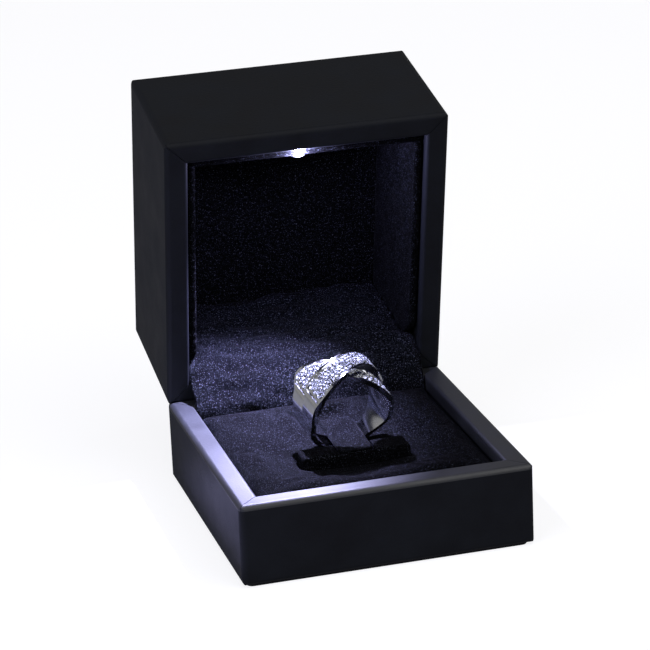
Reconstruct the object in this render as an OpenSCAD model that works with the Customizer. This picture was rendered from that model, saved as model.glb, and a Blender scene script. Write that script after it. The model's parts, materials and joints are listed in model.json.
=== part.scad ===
// Ring display box: a leatherette-covered base with a velvet pad and ring clip,
// and a deep hinged lid that carries a lamp. The lid is drawn open.
// X runs across the front, Y runs to the back and Z runs up from the surface the box stands on.

/* [Box] */
// Width across the front
box_w = 63; // [62:0.5:80]
// Depth from front to back
box_d = 64.8; // [62:0.1:80]
// Height of the base
base_h = 18.2; // [17.8:0.1:22]
// Height of the lid
lid_h = 33.2; // [32:0.1:44]
// Gap between the two rims when the lid is shut
seam_gap = 0.2; // [0.2:0.05:0.4]
// How far the open lid has swung
open_angle = 78; // [74:1:78]
// Width of the rims round the openings
rim_w = 5; // [4.9:0.1:6]
// Radius of the upright corners
corner_r = 1.4; // [1:0.1:2]
// Radius of the outer edges
edge_r = 1.1; // [0.9:0.1:1.6]
// Radius of the two edges along the hinge
hinge_edge_r = 1.5; // [1.5:0.1:2]
// Radius of the rims' inner edges
inner_edge_r = 0.8; // [0.5:0.1:1]

/* [Walls and coverings] */
// Thickness of the leatherette
leather_t = 0.7; // [0.5:0.1:0.8]
// Thickness of the moulded walls
wall_t = 1.8; // [1.6:0.1:2]
// Thickness of the moulded floor and roof
floor_t = 1.8; // [1.4:0.1:2]
// Thickness of the bottom sheet
foot_t = 0.6; // [0.4:0.1:1]
// How far the bottom sheet stays in from the outer faces
foot_inset = 1.2; // [0.8:0.1:3]
// Depth of the base's inner frame
base_frame_h = 6; // [5.8:0.1:8]
// Depth of the lid's inner frame
lid_frame_h = 5.5; // [5:0.1:6]
// How far the rim strips turn down inside the opening
rim_return = 3.2; // [2:0.1:4]
// Width of the seam where two rim strips meet
mitre_gap = 0.12; // [0.06:0.02:0.2]
// Gap between glued pieces that only lie against each other
fit_gap = 0.1; // [0.05:0.05:0.15]

/* [Linings] */
// Thickness of the velvet boards on the lid's walls
lining_t = 1.9; // [1.5:0.1:2]
// Thickness of the velvet board under the lid's roof
roof_lining_t = 1; // [0.8:0.1:1.6]
// How far the linings stay in from the rim
lining_setback = 1.6; // [1:0.1:2]
// Cut-away at the linings' corner beside the hinge
lining_cut = 4.5; // [4:0.1:6]
// Thickness of the velvet that crosses the hinge
cloth_t = 0.5; // [0.3:0.05:0.5]

/* [Pad and ring clip] */
// Thickness of the board under the pad
board_t = 1.2; // [0.8:0.1:1.6]
// How far the pad's edge lies below the rim
pad_drop = 1.4; // [1:0.1:2]
// Depth of the hollow in the middle of the pad
dish_depth = 2.2; // [2.1:0.1:2.6]
// Width of that hollow
dish_w = 46; // [40:1:50]
// Radius of the pad's upper edges
pad_edge_r = 2; // [1:0.1:3]
// Width of the velvet block in front of the ring
block_w = 23.8; // [16:0.2:28]
// Depth of the block
block_d = 5.9; // [5:0.1:7]
// Place of the block's front face
block_y = -10.4; // [-12:0.1:-10]
// Height of the block's top below the rim
block_drop = 0.6; // [0.4:0.1:0.8]
// Width of the tongue that holds the ring
tongue_w = 7.6; // [6:0.1:8]
// Thickness of the tongue along its middle
tongue_t = 1.5; // [1.4:0.1:1.7]
// Place of the tongue's free end
tongue_end_y = 8.3; // [6:0.1:10]
// Rise of the tongue towards its free end
tongue_rise = 3; // [1.5:0.5:4]
// Thickness of the steel strip in the tongue
strip_t = 0.4; // [0.3:0.1:0.4]
// Width of that strip
strip_w = 4.4; // [3:0.1:4.6]

/* [Ring] */
// Inside diameter of the ring
ring_bore = 17; // [16.4:0.1:17.4]
// Thickness of the ring's metal
ring_t = 1.1; // [0.9:0.05:1.2]
// Width of the ring at the bottom
shank_w = 3.8; // [2.8:0.1:4]
// Width of the ring across its shoulders
shoulder_w = 9.8; // [9:0.1:10.4]
// Width of each crossing band
band_w = 6.2; // [5.4:0.1:6.6]
// How much the upper band widens to the left and narrows to the right
band_flare = 1.5; // [0:0.1:2]
// Sideways sweep of the upper band
upper_sway = 2.4; // [1.8:0.1:2.6]
// Sideways sweep of the lower band
lower_sway = 4.4; // [4:0.1:4.8]
// Rise of the upper band where the two cross
band_lift = 1.8; // [1.5:0.1:2]
// Radius of the stones
stone_r = 0.42; // [0.4:0.02:0.52]
// Lean of the ring towards the front
ring_lean = 15; // [12:1:16]
// Turn of the ring about the upright
ring_turn = 9; // [6:1:11]
// Place of the ring's middle, side to side
ring_x = -0.2; // [-0.6:0.1:0.4]
// Place of the ring's middle, front to back
ring_y = -0.4; // [-0.8:0.1:0.2]
// Gap between the ring and the tongue
ring_gap = 0.12; // [0.1:0.02:0.3]
// How far the ring slides back to come off the tongue
ring_travel = 13.5; // [12:0.5:14]

/* [Hinge] */
// Place of the pin's axis in from the back face
hinge_inset = 1; // [0.9:0.05:1.1]
// Length of the hinge barrel
hinge_w = 33; // [28:0.5:36]
// Radius of the knuckles
knuckle_r = 1; // [0.9:0.05:1]
// Radius of the pin
pin_r = 0.55; // [0.45:0.05:0.6]
// Running clearance round the pin
pin_clear = 0.05; // [0.03:0.01:0.08]
// Thickness of the leaves
leaf_t = 0.45; // [0.35:0.05:0.5]
// Length of the leaves' folded flanges
leaf_fold = 5; // [4:0.1:5]
// Gap kept round the knuckles
swing_gap = 0.25; // [0.2:0.05:0.3]
// Thickness of the spring wire
wire_d = 0.3; // [0.25:0.05:0.3]
// Width of the bare stretch of pin that carries the spring
spring_w = 6.4; // [5:0.2:8]

/* [Lamp and switch] */
// Radius of the lamp's lens
led_r = 1.35; // [1:0.05:1.4]
// Place of the lamp, side to side
led_x = -1.6; // [-3:0.1:3]
// Place of the lamp in from the rim
led_depth = 3.8; // [3.6:0.1:4]
// How far the lens stands out of the lining
lens_proud = 0.4; // [0.2:0.1:1]
// Diameter of the coin cells
cell_d = 12.5; // [11:0.5:12.5]
// Thickness of the coin cells
cell_t = 1.6; // [1.2:0.1:1.6]
// Radius of the switch plunger
plunger_r = 0.6; // [0.4:0.05:0.6]
// Travel of the switch plunger
plunger_travel = 1; // [0.6:0.1:1]
// Radius of the lamp wires with their sleeves
wire_r = 0.35; // [0.25:0.05:0.4]

/* [Hidden] */
$fn = 48;

leather_black = "#15171b";
velvet_black = "#15131f";
moulded_black = "#202226";
steel_grey = "#8d9096";
silver_white = "#d9dade";

half_w = box_w / 2;
half_d = box_d / 2;
cavity_w = half_w - leather_t - wall_t;          // half width inside the moulded walls
cavity_d = half_d - leather_t - wall_t;
opening_w = half_w - rim_w;                      // half width between the rim strips
opening_d = half_d - rim_w;
frame_in_w = opening_w + leather_t;              // inner faces of the frames
frame_in_d = opening_d + leather_t;
base_floor_z = foot_t + leather_t + floor_t;
frame_top_z = base_h - leather_t;
lid_z = base_h + seam_gap;                       // the lid's rim when it is shut
lid_top_z = lid_z + lid_h;
lid_frame_z = lid_z + leather_t;
roof_z = lid_top_z - leather_t - floor_t;
lining_z = lid_z + lining_setback;
lining_top_z = roof_z - roof_lining_t - fit_gap / 2;
hinge_y = half_d - hinge_inset;
hinge_z = base_h + seam_gap / 2;
notch_w = hinge_w / 2 + 0.4;                     // half width of the notch for the barrel
notch_r = knuckle_r + swing_gap;
over = 1;                                        // how far cutting shapes run past a face
arc_fn = 32;

// ---- shapes shared by several pieces ----

// A rectangle from lo to hi with its own radius at each corner, anticlockwise from the lower left
module outline(lo, hi, r) {
    polygon([
        [lo.x + r[0], lo.y], [hi.x - r[1], lo.y], [hi.x, lo.y + r[1]], [hi.x, hi.y - r[2]],
        [hi.x - r[2], hi.y], [lo.x + r[3], hi.y], [lo.x, hi.y - r[3]], [lo.x, lo.y + r[0]]
    ]);
    centres = [
        [lo.x + r[0], lo.y + r[0]], [hi.x - r[1], lo.y + r[1]],
        [hi.x - r[2], hi.y - r[2]], [lo.x + r[3], hi.y - r[3]]
    ];
    for (i = [0:3]) translate(centres[i]) circle(r[i]);
}

// A box with rounded edges between z0 and z1, drawn in from the outer faces by inset
module form(z0, z1, inset, back_low_r, back_high_r) {
    w = half_w - inset;
    d = half_d - inset;
    lo = z0 + inset;
    hi = z1 - inset;
    plan_r = corner_r - inset / 2;
    soft = edge_r - inset / 2;
    low_r = back_low_r - inset / 2;
    high_r = back_high_r - inset / 2;
    intersection() {
        translate([0, 0, lo]) linear_extrude(hi - lo)
            outline([-w, -d], [w, d], [plan_r, plan_r, plan_r, plan_r]);
        rotate([90, 0, 90]) linear_extrude(2 * w + over, center = true)
            outline([-d, lo], [d, hi], [soft, low_r, high_r, soft]);
        rotate([90, 0, 0]) linear_extrude(2 * d + over, center = true)
            outline([-w, lo], [w, hi], [soft, soft, soft, soft]);
    }
}

module base_form(inset) form(foot_t, base_h, inset, edge_r, hinge_edge_r);
module lid_form(inset) form(lid_z, lid_top_z, inset, hinge_edge_r, edge_r);

// An upright block given by its half widths
module slab(w, d, z0, z1) translate([-w, -d, z0]) cube([2 * w, 2 * d, z1 - z0]);

// A block given by its two corners
module block(lo, hi) translate(lo) cube(hi - lo);

// Swings what is drawn shut into the open lid's place
module opened() {
    translate([0, hinge_y, hinge_z]) rotate([-open_angle, 0, 0]) translate([0, -hinge_y, -hinge_z])
        children();
}

// Turns what is drawn on the base over onto the lid
module mirrored_up() translate([0, 0, 2 * hinge_z]) mirror([0, 0, 1]) children();

// The part of the plan that belongs to one side of a rim: 0 front, 1 right, 2 back, 3 left
module mitre_wedge(side, z0, z1) {
    along = side % 2 == 0 ? half_w : half_d;
    across = side % 2 == 0 ? half_d : half_w;
    reach = rim_w + over;
    slack = mitre_gap / 2 * sqrt(2);
    rotate([0, 0, 90 * side]) translate([0, -across, z0]) linear_extrude(z1 - z0) polygon([
        [-along - over + slack, -over], [along + over - slack, -over],
        [along - reach - slack, reach], [-along + reach + slack, reach]
    ]);
}

// Section of a rim strip: the top of the wall with its outer edge and its inner return
module rim_section(lap) {
    difference() {
        outline([0, -rim_return], [rim_w, 0], [inner_edge_r / 4, inner_edge_r / 4, inner_edge_r, lap]);
        translate([leather_t, -rim_return - over]) square([rim_w - 2 * leather_t, rim_return + over - leather_t]);
        translate([-over, -rim_return - over]) square([leather_t + 2 * over, rim_return + over - lap]);
    }
}

// One leatherette strip of the base's rim
module rim_strip(side) {
    lap = side == 2 ? hinge_edge_r : edge_r;
    along = side % 2 == 0 ? half_w : half_d;
    across = side % 2 == 0 ? half_d : half_w;
    intersection() {
        base_form(0);
        mitre_wedge(side, base_h - rim_return - over, base_h + over);
        rotate([0, 0, 90 * side]) translate([0, -across, base_h]) rotate([90, 0, 90])
            linear_extrude(2 * along + over, center = true) rim_section(lap);
    }
}

// What the rim strips take away from the covering below them
module rim_cut() {
    for (side = [0:3]) {
        lap = side == 2 ? hinge_edge_r : edge_r;
        along = side % 2 == 0 ? half_w : half_d;
        across = side % 2 == 0 ? half_d : half_w;
        intersection() {
            mitre_wedge(side, base_h - lap, base_h + over);
            rotate([0, 0, 90 * side]) slab(along + over, across + over, base_h - lap, base_h + over);
        }
    }
    slab(half_w + over, half_d + over, base_h - edge_r + mitre_gap, base_h + over);
}

// Room for the barrel along the back edge
module barrel_notch() {
    block([-notch_w, hinge_y - notch_r, hinge_z - notch_r], [notch_w, half_d + over, hinge_z + notch_r]);
}

// ---- base ----

module base_bottom() color(moulded_black)
    translate([0, 0, 0]) linear_extrude(foot_t)
        outline([foot_inset - half_w, foot_inset - half_d], [half_w - foot_inset, half_d - foot_inset],
                [corner_r, corner_r, corner_r, corner_r]);

module base_cover() color(leather_black) difference() {
    base_form(0);
    base_form(leather_t);
    rim_cut();
    barrel_notch();
    slab(opening_w, opening_d, 0, foot_t + leather_t + over);
}

module base_tray() color(moulded_black) difference() {
    base_form(leather_t);
    slab(cavity_w, cavity_d, base_floor_z, base_h);
    barrel_notch();
}

module base_frame() color(moulded_black) difference() {
    slab(cavity_w - fit_gap, cavity_d - fit_gap, frame_top_z - base_frame_h, frame_top_z);
    slab(frame_in_w, frame_in_d, 0, base_h);
    rivet_holes();
}

module base_rim_front() color(leather_black) rim_strip(0);
module base_rim_right() color(leather_black) rim_strip(1);
module base_rim_left() color(leather_black) rim_strip(3);
module base_rim_back_left() color(leather_black) back_strip(-1);
module base_rim_back_right() color(leather_black) back_strip(1);

// The back strip stops at the barrel, so there is one to each side of it
module back_strip(side) intersection() {
    rim_strip(2);
    block([side < 0 ? -half_w : notch_w, 0, 0], [side < 0 ? -notch_w : half_w, half_d + over, base_h + over]);
}

// ---- hinge ----

knuckle_count = 6;                               // knuckles outside the spring, three to a side
axial_gap = 0.12;
knuckle_w = (hinge_w - spring_w) / knuckle_count;
leaf_drop = hinge_z - frame_top_z - leaf_t;      // how far the base leaf lies below the pin's axis
flange_y = frame_in_d - leaf_t;
rivet_z = frame_top_z - 2.9;
rivet_xs = [-12, -5, 5, 12];
rivet_r = 0.5;
rivet_head_r = 0.9;
rivet_head_t = 0.35;
rivet_clear = 0.05;

// Middle of knuckle i, counted from the left, with the spring between the two halves
function knuckle_x(i) = -hinge_w / 2 + knuckle_w * (i + 0.5) + (i < knuckle_count / 2 ? 0 : spring_w);

// One leaf: the plate on the frame, its flange inside the frame, and every second knuckle
module leaf(first) {
    cut_y = hinge_y - notch_r - swing_gap / 2;
    difference() {
        union() {
            block([-hinge_w / 2, flange_y, frame_top_z], [hinge_w / 2, cut_y, frame_top_z + leaf_t]);
            block([-hinge_w / 2, flange_y, frame_top_z - leaf_fold], [hinge_w / 2, frame_in_d, frame_top_z + leaf_t]);
            for (i = [first:2:knuckle_count - 1]) {
                w = knuckle_w - axial_gap;
                translate([knuckle_x(i) - w / 2, hinge_y, hinge_z]) rotate([0, 90, 0]) cylinder(r = knuckle_r, h = w);
                block([knuckle_x(i) - w / 2, cut_y - over, frame_top_z], [knuckle_x(i) + w / 2, hinge_y, frame_top_z + leaf_t]);
            }
        }
        translate([-hinge_w / 2 - over, hinge_y, hinge_z]) rotate([0, 90, 0])
            cylinder(r = pin_r + pin_clear, h = hinge_w + 2 * over);
        rivet_holes();
    }
}

module rivet_holes() {
    for (x = rivet_xs) translate([x, half_d - leather_t - wall_t, rivet_z]) rotate([90, 0, 0])
        cylinder(r = rivet_r + rivet_clear, h = rim_w);
}

// Round-headed rivets from the flange into the frame
module rivets() {
    for (x = rivet_xs) translate([x, flange_y, rivet_z]) {
        rotate([-90, 0, 0]) cylinder(r = rivet_r, h = leaf_t + cavity_d - fit_gap - frame_in_d);
        rotate([90, 0, 0]) cylinder(r1 = rivet_head_r, r2 = rivet_head_r / 2, h = rivet_head_t);
    }
}

module hinge_leaf_base() color(steel_grey) leaf(0);
module hinge_rivets_base() color(steel_grey) rivets();
module hinge_leaf_lid() color(steel_grey) opened() mirrored_up() leaf(1);
module hinge_rivets_lid() color(steel_grey) opened() mirrored_up() rivets();

module hinge_pin() color(steel_grey) {
    head_r = knuckle_r - swing_gap / 2;
    head_t = 0.25;
    translate([0, hinge_y, hinge_z]) rotate([0, 90, 0]) {
        cylinder(r = pin_r, h = hinge_w, center = true);
        for (end = [-1, 1]) translate([0, 0, end * (hinge_w / 2 + head_t / 2)])
            cylinder(r = head_r, h = head_t, center = true);
    }
}

// A wire wound round the pin, one end on each leaf
module hinge_spring() color(steel_grey) {
    coil_r = pin_r + pin_clear + wire_d;
    turns = floor((spring_w - 1.2) / (wire_d * 0.9));
    pitch = (spring_w - 1.2) / turns;
    for (i = [0:turns]) translate([-spring_w / 2 + 0.6 + i * pitch, hinge_y, hinge_z]) rotate([0, 90, 0])
        rotate_extrude($fn = arc_fn) translate([coil_r, 0]) circle(wire_d / 2, $fn = 16);
    spring_leg(spring_w / 2 - 0.6, coil_r);
    opened() mirrored_up() spring_leg(0.6 - spring_w / 2, coil_r);
}

module spring_leg(x, coil_r) {
    reach = 1.9;
    translate([x, hinge_y - coil_r, hinge_z]) rotate([90 + 2, 0, 0]) cylinder(d = wire_d, h = reach, $fn = 16);
}

// ---- pad and ring clip ----

pad_z = base_floor_z + board_t;
pad_top_z = base_h - pad_drop;
pad_gap = 0.3;                                   // room that soft pieces keep from their neighbours
pad_back_y = flange_y - rivet_head_t - cloth_t - 3 * pad_gap - 0.4;
block_top_z = base_h - block_drop;
block_back_y = block_y + block_d;
block_r = 1.2;
tongue_root_y = block_y + 1.5;                   // the line that the tongue bends about
tongue_round = 0.5;
tongue_sweep = sqrt(tongue_round * tongue_round + tongue_t * tongue_t / 4);  // what its root sweeps as it bends
tongue_mid_z = block_top_z - tongue_t / 2;
bracket_foot = 3;
bracket_drop = 0.3;                              // how far its blade stays below the tongue
ring_r = ring_bore / 2;
tongue_under_r = ring_r - 1.2;                   // the tongue's hollow-ground underside
tongue_room = 0.35;                              // room below the tongue's root for it to bend
ring_out_r = ring_r + ring_t;
// The ring hangs so far down that its inside clears the tongue's underside all the way across
ring_bottom_x = ring_x - ring_r * sin(ring_lean) * sin(ring_turn);
ring_back_y = ring_y + ring_r * sin(ring_lean) + shank_w / 2 * cos(ring_lean);
ring_under_z = block_top_z - tongue_t + (ring_back_y - tongue_root_y) * tan(tongue_rise);
ring_side = tongue_w / 2 + abs(ring_bottom_x) + shank_w / 2 * sin(ring_turn);
ring_side_rise = (ring_r - sqrt(ring_r * ring_r - ring_side * ring_side)) * cos(ring_lean);
tongue_side_rise = tongue_under_r - sqrt(tongue_under_r * tongue_under_r - tongue_w * tongue_w / 4);
ring_drop = ring_gap + shank_w / 2 * sin(ring_lean) + max(0, ring_side_rise - tongue_side_rise);
ring_z = ring_under_z - ring_drop + ring_r * cos(ring_lean);

module pad_board() color(moulded_black)
    slab(opening_w - fit_gap, opening_d - fit_gap, base_floor_z, pad_z);

module velvet_pad() color(velvet_black) difference() {
    w = opening_w - pad_gap;
    intersection() {
        translate([0, 0, pad_z]) linear_extrude(pad_top_z - pad_z)
            outline([-w, pad_gap - opening_d], [w, pad_back_y], [1, 1, 1, 1]);
        rotate([90, 0, 90]) linear_extrude(box_w, center = true)
            outline([pad_gap - opening_d, pad_z], [pad_back_y, pad_top_z], [0.5, 0.5, pad_edge_r, pad_edge_r]);
        rotate([90, 0, 0]) linear_extrude(box_d, center = true)
            outline([-w, pad_z], [w, pad_top_z], [0.5, 0.5, pad_edge_r, pad_edge_r]);
    }
    dish_r = (dish_w * dish_w / 4 + dish_depth * dish_depth) / (2 * dish_depth);
    translate([0, block_back_y, pad_top_z + dish_r - dish_depth]) sphere(dish_r, $fn = 96);
    block([-block_w / 2 - pad_gap, block_y - pad_gap, 0], [block_w / 2 + pad_gap, block_back_y + pad_gap, base_h]);
    ring_trough();
}

// The furrow that the ring's lower edge presses into the pad, as long as the ring's slide
module ring_trough() {
    step = 20;
    reach = (ring_out_r + 1.5 * pad_gap) / cos(step / 2);
    translate([ring_bottom_x, ring_y - shank_w, ring_z]) rotate([90, 0, 0]) mirror([0, 0, 1])
        linear_extrude(ring_travel + 3 * shank_w)
            polygon([for (t = [-80:step:80]) [reach * sin(t), -reach * cos(t)]]);
}

module ring_block() color(velvet_black) difference() {
    intersection() {
        translate([0, 0, pad_z]) linear_extrude(block_top_z - pad_z)
            outline([-block_w / 2, block_y], [block_w / 2, block_back_y], [block_r, block_r, block_r, block_r]);
        rotate([90, 0, 90]) linear_extrude(block_w + over, center = true)
            outline([block_y, pad_z], [block_back_y, block_top_z], [0.2, 0.2, 0.6, 0.6]);
        rotate([90, 0, 0]) linear_extrude(box_d, center = true)
            outline([-block_w / 2, pad_z], [block_w / 2, block_top_z], [0.2, 0.2, 1, 1]);
    }
    block([-tongue_w / 2 - pad_gap, tongue_root_y - tongue_sweep - 0.1, block_top_z - tongue_t - tongue_room],
          [tongue_w / 2 + pad_gap, block_back_y + over, block_top_z + over]);
    bracket_shape(fit_gap);
}

// Angle bracket inside the block: foot on the board, blade up to the root of the tongue
module bracket_shape(gap) {
    blade_top = block_top_z - tongue_t - bracket_drop;
    block([-strip_w / 2 - gap, tongue_root_y - gap, pad_z - gap],
          [strip_w / 2 + gap, tongue_root_y + strip_t + gap, blade_top + 3 * gap]);
    block([-strip_w / 2 - gap, tongue_root_y - gap, pad_z - gap],
          [strip_w / 2 + gap, tongue_root_y + bracket_foot + gap, pad_z + strip_t + gap]);
}

module clip_bracket() color(steel_grey) bracket_shape(0);

// Tips what is drawn level to the tongue's rise
module at_tongue() {
    translate([0, tongue_root_y, tongue_mid_z]) rotate([tongue_rise, 0, 0])
        translate([0, -tongue_root_y, -tongue_mid_z]) children();
}

module strip_shape(gap) {
    block([-strip_w / 2 - gap, tongue_root_y - (gap > 0 ? over : 0.4), block_top_z - tongue_t / 2 - strip_t / 2 - gap],
          [strip_w / 2 + gap, tongue_end_y - 1 + gap, block_top_z - tongue_t / 2 + strip_t / 2 + gap]);
}

module tongue_spring() color(steel_grey) at_tongue() strip_shape(0);

module tongue_cover() color(velvet_black) at_tongue() difference() {
    edge = 0.3;
    intersection() {
        rotate([90, 0, 0]) linear_extrude(box_d, center = true) intersection() {
            outline([-tongue_w / 2, block_top_z - tongue_t], [tongue_w / 2, block_top_z], [edge, edge, edge, edge]);
            translate([0, block_top_z - tongue_t + tongue_under_r]) circle(tongue_under_r, $fn = 96);
        }
        linear_extrude(base_h + over) outline(
            [-tongue_w / 2, tongue_root_y - tongue_round], [tongue_w / 2, tongue_end_y], [edge, edge, 2, 2]);
    }
    strip_shape(0.05);
}

// ---- ring ----

border_w = 0.55;                                 // polished borders either side of the stones
channel_depth = 0.35;                            // the stones lie in channels cut this deep
channel_end = 65;                                // angle from the top at which they stop, between two band steps
band_shift = 0.5;                                // how far both bands' middles lie to the back
band_bend = 1.7;                                 // how quickly they sweep
band_merge = 55;                                 // angle at which a band starts to run into the shank
band_step = 8;
shank_start = 0.95;                              // depth below the middle at which the shank starts to widen
shank_spread = 0.6;
shank_top = 0.36;                                // height at which the bands leave it, both in parts of the radius

// Puts what is drawn about the origin, axis along Y, in the ring's place
module at_ring() translate([ring_x, ring_y, ring_z]) rotate([ring_lean, 0, ring_turn]) children();

module ring_cylinder(r, lift) translate([0, 0, lift]) rotate([90, 0, 0])
    cylinder(r = r, h = 3 * shoulder_w, center = true, $fn = 128);

// Where a band's middle line lies at an angle from the top; way is 1 for the upper band, -1 for the lower
function band_mid(way, t) =
    band_shift + (way > 0 ? upper_sway : -lower_sway) * sin(band_bend * t);

function band_width(way, t) = band_w - (way > 0 ? band_flare * sin(t) : 0);

// 0 where a band runs freely, 1 where it has become part of the shank
function merged(t) = let (s = max(0, min(1, (abs(t) - band_merge) / 25))) s * s * (3 - 2 * s);

// A point on one edge of a band, seen from above
function band_edge(way, t, side, inset) = let (
    edge = band_mid(way, t) + side * band_width(way, t) / 2,
    end = side == way * sign(t) ? side * shoulder_w / 2 : 0
) [ring_out_r * sin(t), edge + (end - edge) * merged(t) - side * inset];

// The band's outline seen from above, drawn in by inset and carried on past the ring
module band_plan(way, inset) {
    last = 10 * band_step;
    far = 2 * ring_r;
    angles = [for (t = [-last:band_step:last]) t];
    polygon(concat(
        [[-far, band_edge(way, -last, -1, inset).y]],
        [for (t = angles) band_edge(way, t, -1, inset)],
        [[far, band_edge(way, last, -1, inset).y], [far, band_edge(way, last, 1, inset).y]],
        [for (t = angles) band_edge(way, -t, 1, inset)],
        [[-far, band_edge(way, -last, 1, inset).y]]
    ));
}

// The metal of one band above foot with the channel for its stones, raised by lift at the top
module band(way, lift, foot) difference() {
    intersection() {
        ring_cylinder(ring_out_r, lift);
        translate([0, 0, foot]) linear_extrude(2 * ring_r) band_plan(way, 0);
    }
    ring_cylinder(ring_r, lift * 0.9);
    intersection() {
        difference() {
            ring_cylinder(ring_out_r + over, lift);
            ring_cylinder(ring_out_r - channel_depth, lift);
        }
        translate([0, 0, lift + ring_out_r * cos(channel_end)]) linear_extrude(2 * ring_r) band_plan(way, border_w);
    }
}

// Half the shank's width at a height given in parts of the radius
function shank_half(h) = let (s = max(0, min(1, (h + shank_start) / shank_start)))
    shank_w / 2 + (shoulder_w - shank_w) / 2 * s * s * (3 - 2 * s);

// The shank, narrow below, as wide as both bands at the shoulders, and spread where the lower band leaves it
module shank_side() {
    heights = [-1.2, -0.95, -0.85, -0.75, -0.65, -0.55, -0.45, -0.35, -0.25, -0.12, 0, shank_top];
    last = len(heights) - 1;
    for (turn = [0, 180]) rotate([0, 0, turn]) translate([-2 * ring_r, 0, 0])
        rotate([90, 0, 90]) linear_extrude(2 * ring_r) polygon(concat(
            [for (h = heights) [shank_half(h) + (h > 0 ? shank_spread : 0), h * ring_r]],
            [for (i = [last:-1:0]) [-shank_half(heights[i]), heights[i] * ring_r]]
        ));
}

module ring_band() color(silver_white) at_ring() difference() {
    union() {
        intersection() {
            ring_cylinder(ring_out_r, 0);
            shank_side();
        }
        band(1, band_lift, 0.4 * band_lift);
        band(-1, 0, 0.8 * shank_top * ring_r);
    }
    ring_cylinder(ring_r, 0);
}

stone_gap = 0.14;                                // metal between neighbouring stones
stone_seat = 0.03;
stone_pitch = 2 * stone_r + stone_gap;
stone_angle = stone_pitch / ring_out_r * 180 / PI;
stone_rows = 3;                                  // rows to either side of a band's middle one

function inside_band(way, t, y, room) =
    y > band_edge(way, t, -1, 0).y - room && y < band_edge(way, t, 1, 0).y + room;

// Stones in rows along one band, where they fit in its channel and the other band does not cover them
module stones(way, lift) {
    last = floor((channel_end - 5) / stone_angle) * stone_angle;
    r = ring_out_r - channel_depth + stone_seat;
    for (row = [-stone_rows:stone_rows], t = [-last:stone_angle:last]) {
        at = t + (row % 2 == 0 ? 0 : stone_angle / 2);
        y = band_mid(way, at) + row * 0.9 * stone_pitch;
        seated = inside_band(way, at, y, -border_w - stone_r - stone_seat) && at < last + 1;
        if (seated && (way > 0 || !inside_band(1, at, y, stone_r + stone_gap)))
            translate([0, y, lift]) rotate([0, at, 0]) translate([0, 0, r]) {
                cylinder(r = stone_r, h = 0.2);
                translate([0, 0, 0.2]) cylinder(r1 = stone_r, r2 = 0.6 * stone_r, h = 0.2);
            }
    }
}

module ring_stones() color("white") at_ring() {
    stones(1, band_lift);
    stones(-1, 0);
}

// ---- lid, drawn shut and then opened ----

module lid_cover() color(leather_black) opened() difference() {
    lid_form(0);
    lid_form(leather_t);
    mirrored_up() rim_cut();
    mirrored_up() barrel_notch();
}

led_z = lid_z + led_depth;
lens_gap = 0.05;
pocket_w = 6.6;                                  // half width of the lamp's pocket in the lid frame
switch_x = 22.5;
switch_w = 4.8;
switch_h = 4.4;
plunger_y = cavity_d - 0.9;
switch_z = lid_frame_z + 0.9;
lamp_x0 = led_x - pocket_w;
lamp_x1 = led_x + pocket_w;

module lid_shell() color(moulded_black) opened() difference() {
    lid_form(leather_t);
    slab(cavity_w, cavity_d, lid_z - over, roof_z);
    mirrored_up() barrel_notch();
}

module lid_frame() color(moulded_black) opened() difference() {
    slab(cavity_w - fit_gap, cavity_d - fit_gap, lid_frame_z, lid_frame_z + lid_frame_h);
    slab(frame_in_w, frame_in_d, 0, lid_top_z);
    mirrored_up() rivet_holes();
    block([lamp_x0, -half_d, lid_frame_z + 1.1], [lamp_x1, 0, lid_top_z]);
    block([switch_x - switch_w / 2 - fit_gap, 0, switch_z - fit_gap], [switch_x + switch_w / 2 + fit_gap, half_d, lid_top_z]);
    plunger_hole();
}

module lamp_hole() translate([led_x, -half_d, led_z]) rotate([-90, 0, 0]) cylinder(r = led_r + lens_gap, h = half_d);

module plunger_hole() translate([switch_x, plunger_y, 0]) cylinder(r = plunger_r + 0.25, h = switch_z + over);

module lid_rim_front() color(leather_black) opened() difference() {
    mirrored_up() rim_strip(0);
    lamp_hole();
}
module lid_rim_right() color(leather_black) opened() mirrored_up() rim_strip(1);
module lid_rim_left() color(leather_black) opened() mirrored_up() rim_strip(3);
module lid_rim_back_left() color(leather_black) opened() mirrored_up() back_strip(-1);
module lid_rim_back_right() color(leather_black) opened() difference() {
    mirrored_up() back_strip(1);
    plunger_hole();
}

lining_out_w = opening_w - fit_gap;              // outer faces of the lid's linings
lining_out_d = opening_d - fit_gap;
lining_in_w = lining_out_w - lining_t;
lining_in_d = lining_out_d - lining_t;
back_lining_t = lining_t - 0.3;                  // thinner, to leave room for the rivet heads

module lid_roof_lining() color(velvet_black) opened()
    slab(cavity_w - fit_gap, cavity_d - fit_gap, roof_z - roof_lining_t, roof_z);

module lid_lining_front() color(velvet_black) opened() difference() {
    block([-lining_out_w, -lining_out_d, lining_z], [lining_out_w, -lining_in_d, lining_top_z]);
    lamp_hole();
}

module lid_lining_back() color(velvet_black) opened()
    block([-lining_out_w, lining_in_d, lining_z + lining_t], [lining_out_w, lining_in_d + back_lining_t, lining_top_z]);

module side_lining(side) {
    reach = lining_in_d - fit_gap;
    x0 = side > 0 ? lining_in_w : -lining_out_w;
    opened() translate([x0, 0, 0]) rotate([90, 0, 90]) linear_extrude(lining_t) polygon([
        [-reach, lining_z], [reach - lining_cut, lining_z], [reach, lining_z + lining_cut],
        [reach, lining_top_z], [-reach, lining_top_z]
    ]);
}

module lid_lining_left() color(velvet_black) side_lining(-1);
module lid_lining_right() color(velvet_black) side_lining(1);

// ---- velvet across the hinge ----

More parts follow.
